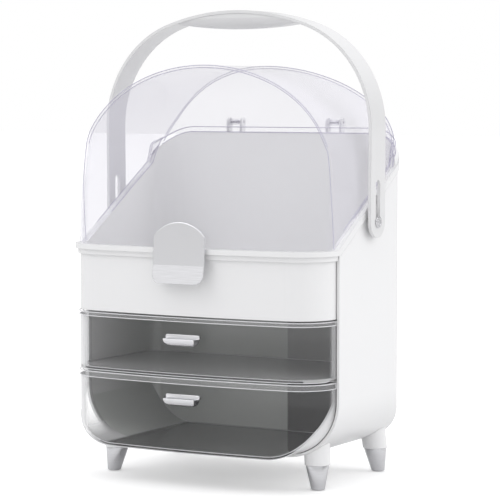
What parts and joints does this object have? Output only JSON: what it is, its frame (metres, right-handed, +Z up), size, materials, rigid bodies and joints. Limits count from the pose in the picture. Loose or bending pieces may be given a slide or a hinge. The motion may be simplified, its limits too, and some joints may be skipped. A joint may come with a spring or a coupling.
{
  "type": "makeup storage case with handle",
  "caption": "Free-standing cosmetics case: U-shaped housing on splayed feet, see-through drawers, top tray under a hinged arched clear cover, and a swinging arched carrying handle.",
  "frame": {"origin": "on the floor, under the middle of the bounding box, case closed and handle upright", "axes": "+Z up, +Y towards the hinged back, the drawers open towards -Y, +X to the right seen from the front"},
  "size_m": [0.2976, 0.212, 0.4485],
  "materials": {
    "white_shell": "gloss",
    "white_inner": "satin",
    "white_tray": "gloss",
    "white_handle": "satin",
    "clear_cover": "clear",
    "smoke_clear": "clear smoke tint",
    "silver": "satin chrome",
    "steel_pin": "brushed"
  },
  "bodies": {
    "case": {"housing": "white_shell", "divider_shelf": "white_inner", "top_tray": "white_tray", "foot_front_left": "silver", "foot_front_right": "silver", "foot_rear_left": "silver", "foot_rear_right": "silver", "collar_front_left": "white_shell", "collar_front_right": "white_shell", "collar_rear_left": "white_shell", "collar_rear_right": "white_shell", "hinge_bracket_left": "white_shell", "hinge_bracket_right": "white_shell", "hinge_pin_left": "steel_pin", "hinge_pin_right": "steel_pin", "handle_pin_left": "silver", "handle_pin_right": "silver", "handle_washer_left": "white_handle", "handle_washer_right": "white_handle"},
    "cover": {"cover": "clear_cover", "cover_tab": "silver"},
    "handle": {"handle_band": "white_handle", "handle_grip": "white_handle"},
    "drawer_upper": {"drawer_upper": "smoke_clear", "pull_upper": "silver"},
    "drawer_lower": {"drawer_lower": "smoke_clear", "pull_lower": "silver"}
  },
  "joints": [
    {"name": "cover_hinge", "type": "hinge", "parent": "case", "child": "cover", "pos_m": [0, 0.1016, 0.34], "axis": [-1, 0, 0], "range_deg": [0, 100]},
    {"name": "handle_swing", "type": "hinge", "parent": "case", "child": "handle", "pos_m": [0, 0.0159, 0.2482], "axis": [-1, 0, 0], "range_deg": [0, 100]},
    {"name": "drawer_upper_slide", "type": "slide", "parent": "case", "child": "drawer_upper", "axis": [0, -1, 0], "range_m": [0, 0.12]},
    {"name": "drawer_lower_slide", "type": "slide", "parent": "case", "child": "drawer_lower", "axis": [0, -1, 0], "range_m": [0, 0.12]}
  ],
  "couplings": [
    {"joint": "handle_swing", "follows": "cover_hinge", "ratio": 1}
  ]
}
